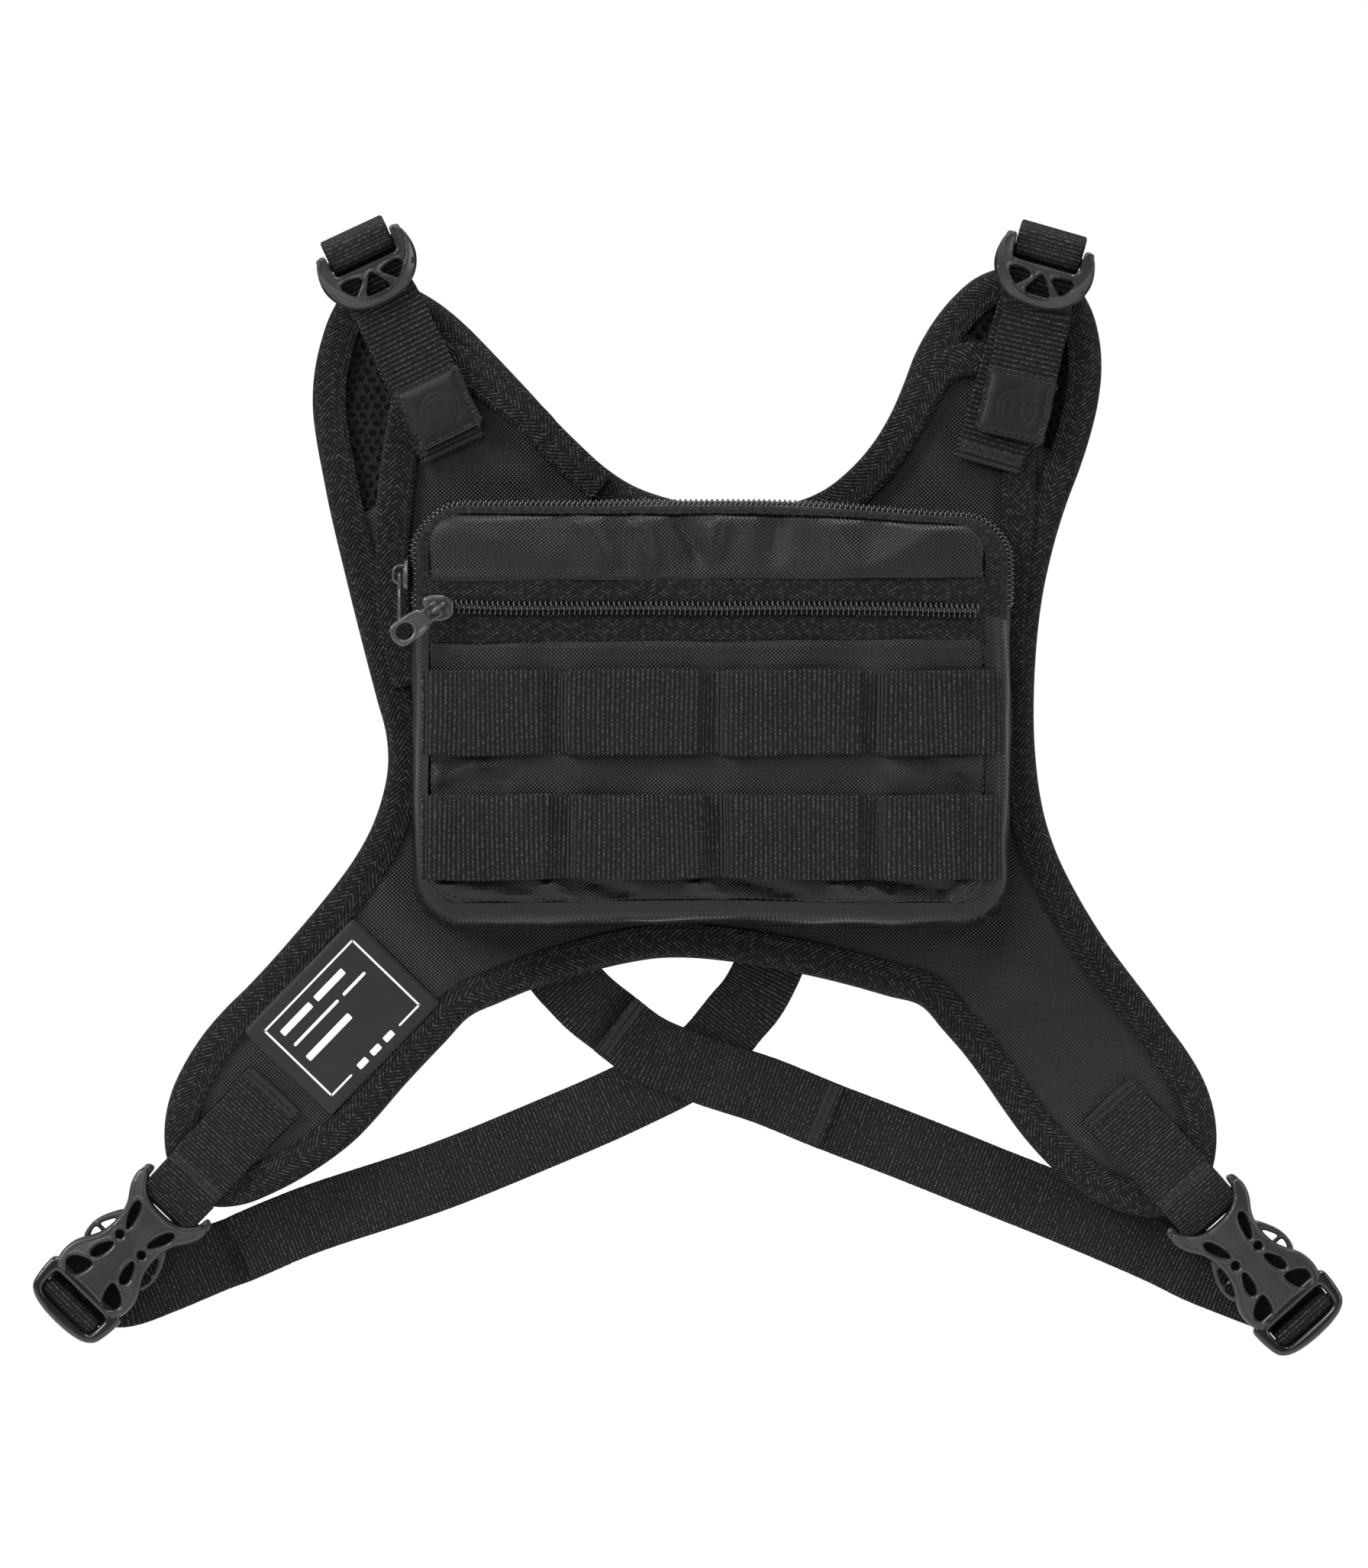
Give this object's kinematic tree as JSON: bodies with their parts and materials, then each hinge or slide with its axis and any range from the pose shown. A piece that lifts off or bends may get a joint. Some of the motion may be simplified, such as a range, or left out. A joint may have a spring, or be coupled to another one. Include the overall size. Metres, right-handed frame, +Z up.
{
  "type": "harness vest",
  "caption": "X-shaped padded chest harness vest with a zipped front pouch, webbing rows, adjustable shoulder straps, side release buckles and crossed back straps.",
  "frame": {"origin": "the middle of the pad's back face, behind the pouch, where the vest lies on the wearer's chest", "axes": "+X to the right of the vest as seen from the front, +Y back towards the wearer, +Z up to the shoulders"},
  "size_m": [0.4737, 0.0642, 0.4139],
  "materials": {
    "spacer_mesh": "matt air mesh",
    "nylon": "coated plain weave with a soft sheen",
    "binding_tape": "matt herringbone tape",
    "zip_tape": "matt knitted tape",
    "zip_coil": "glossy nylon coil",
    "zip_metal": "satin lacquer",
    "webbing": "ribbed webbing",
    "plastic": "satin moulded acetal",
    "patch_leather": "smooth coated leather",
    "label_weave": "smooth woven label"
  },
  "bodies": {
    "root": {"vest_back_pad": "spacer_mesh", "vest_front_panel": "nylon", "pouch_back_panel": "nylon", "pouch_gusset": "nylon", "pouch_lower_band": "nylon", "pouch_top_panel": "nylon", "pouch_front_panel": "nylon", "pocket_lining": "nylon", "pad_edge_binding": "binding_tape", "panel_binding_left": "binding_tape", "panel_binding_right": "binding_tape", "main_zipper_tape": "zip_tape", "pocket_zipper_tape": "zip_tape", "main_zipper_coil": "zip_coil", "pocket_zipper_coil": "zip_coil", "molle_strap_upper": "webbing", "molle_strap_lower": "webbing", "anchor_strap_left": "webbing", "anchor_strap_right": "webbing", "strap_tail_left": "webbing", "strap_tail_right": "webbing", "buckle_strap_left": "webbing", "buckle_strap_right": "webbing", "back_strap_from_left_buckle": "webbing", "back_strap_from_right_buckle": "webbing", "strap_keeper": "webbing", "buckle_socket_left": "plastic", "buckle_socket_right": "plastic", "tail_patch_left": "patch_leather", "tail_patch_right": "patch_leather", "woven_label": "label_weave"},
    "pocket_slider": {"pocket_slider": "zip_metal"},
    "pocket_pull_tab": {"pocket_pull_tab": "zip_metal"},
    "main_slider": {"main_slider": "zip_metal"},
    "main_pull_tab": {"main_pull_tab": "zip_metal"},
    "ladder_lock_left": {"ladder_lock_left": "plastic", "lock_webbing_left": "webbing"},
    "buckle_plug_left": {"buckle_plug_left": "plastic", "plug_webbing_left": "webbing"},
    "release_arm_left_upper": {"release_arm_left_upper": "plastic"},
    "release_arm_left_lower": {"release_arm_left_lower": "plastic"},
    "ladder_lock_right": {"ladder_lock_right": "plastic", "lock_webbing_right": "webbing"},
    "buckle_plug_right": {"buckle_plug_right": "plastic", "plug_webbing_right": "webbing"},
    "release_arm_right_upper": {"release_arm_right_upper": "plastic"},
    "release_arm_right_lower": {"release_arm_right_lower": "plastic"}
  },
  "joints": [
    {"name": "pocket_slider_slide", "type": "slide", "parent": "root", "child": "pocket_slider", "axis": [1, 0, 0], "range_m": [0, 0.186]},
    {"name": "pocket_tab_flip", "type": "hinge", "parent": "pocket_slider", "child": "pocket_pull_tab", "pos_m": [-0.0885, -0.0564, 0.0633], "axis": [-0.5736, 0, 0.8192], "range_deg": [0, 160]},
    {"name": "main_slider_slide", "type": "slide", "parent": "root", "child": "main_slider", "axis": [0, 0, 1], "range_m": [0, 0.008]},
    {"name": "main_tab_flip", "type": "hinge", "parent": "main_slider", "child": "main_pull_tab", "pos_m": [-0.1025, -0.04, 0.0756], "axis": [0, 1, 0], "range_deg": [0, 160]},
    {"name": "ladder_lock_left_tilt", "type": "hinge", "parent": "root", "child": "ladder_lock_left", "pos_m": [-0.11697, -0.0147, 0.19264], "axis": [-0.9063, 0, -0.4226], "range_deg": [0, 30]},
    {"name": "ladder_lock_right_tilt", "type": "hinge", "parent": "root", "child": "ladder_lock_right", "pos_m": [0.13204, -0.0147, 0.19229], "axis": [-0.9613, 0, 0.2756], "range_deg": [0, 30]},
    {"name": "buckle_left_pull_out", "type": "slide", "parent": "root", "child": "buckle_plug_left", "axis": [-0.6997, 0, -0.7145], "range_m": [0, 0.036]},
    {"name": "buckle_right_pull_out", "type": "slide", "parent": "root", "child": "buckle_plug_right", "axis": [0.6691, 0, -0.7431], "range_m": [0, 0.036]},
    {"name": "release_arm_left_upper_squeeze", "type": "hinge", "parent": "buckle_plug_left", "child": "release_arm_left_upper", "pos_m": [-0.22143, -0.0045, -0.17875], "axis": [0, 1, 0], "range_deg": [0, 8], "stiffness_Nm_per_rad": 0.05},
    {"name": "release_arm_left_lower_squeeze", "type": "hinge", "parent": "buckle_plug_left", "child": "release_arm_left_lower", "pos_m": [-0.212, -0.0045, -0.18799], "axis": [0, -1, 0], "range_deg": [0, 8], "stiffness_Nm_per_rad": 0.05},
    {"name": "release_arm_right_upper_squeeze", "type": "hinge", "parent": "buckle_plug_right", "child": "release_arm_right_upper", "pos_m": [0.22431, -0.0045, -0.18358], "axis": [0, -1, 0], "range_deg": [0, 8], "stiffness_Nm_per_rad": 0.05},
    {"name": "release_arm_right_lower_squeeze", "type": "hinge", "parent": "buckle_plug_right", "child": "release_arm_right_lower", "pos_m": [0.21451, -0.0045, -0.19241], "axis": [0, 1, 0], "range_deg": [0, 8], "stiffness_Nm_per_rad": 0.05}
  ]
}
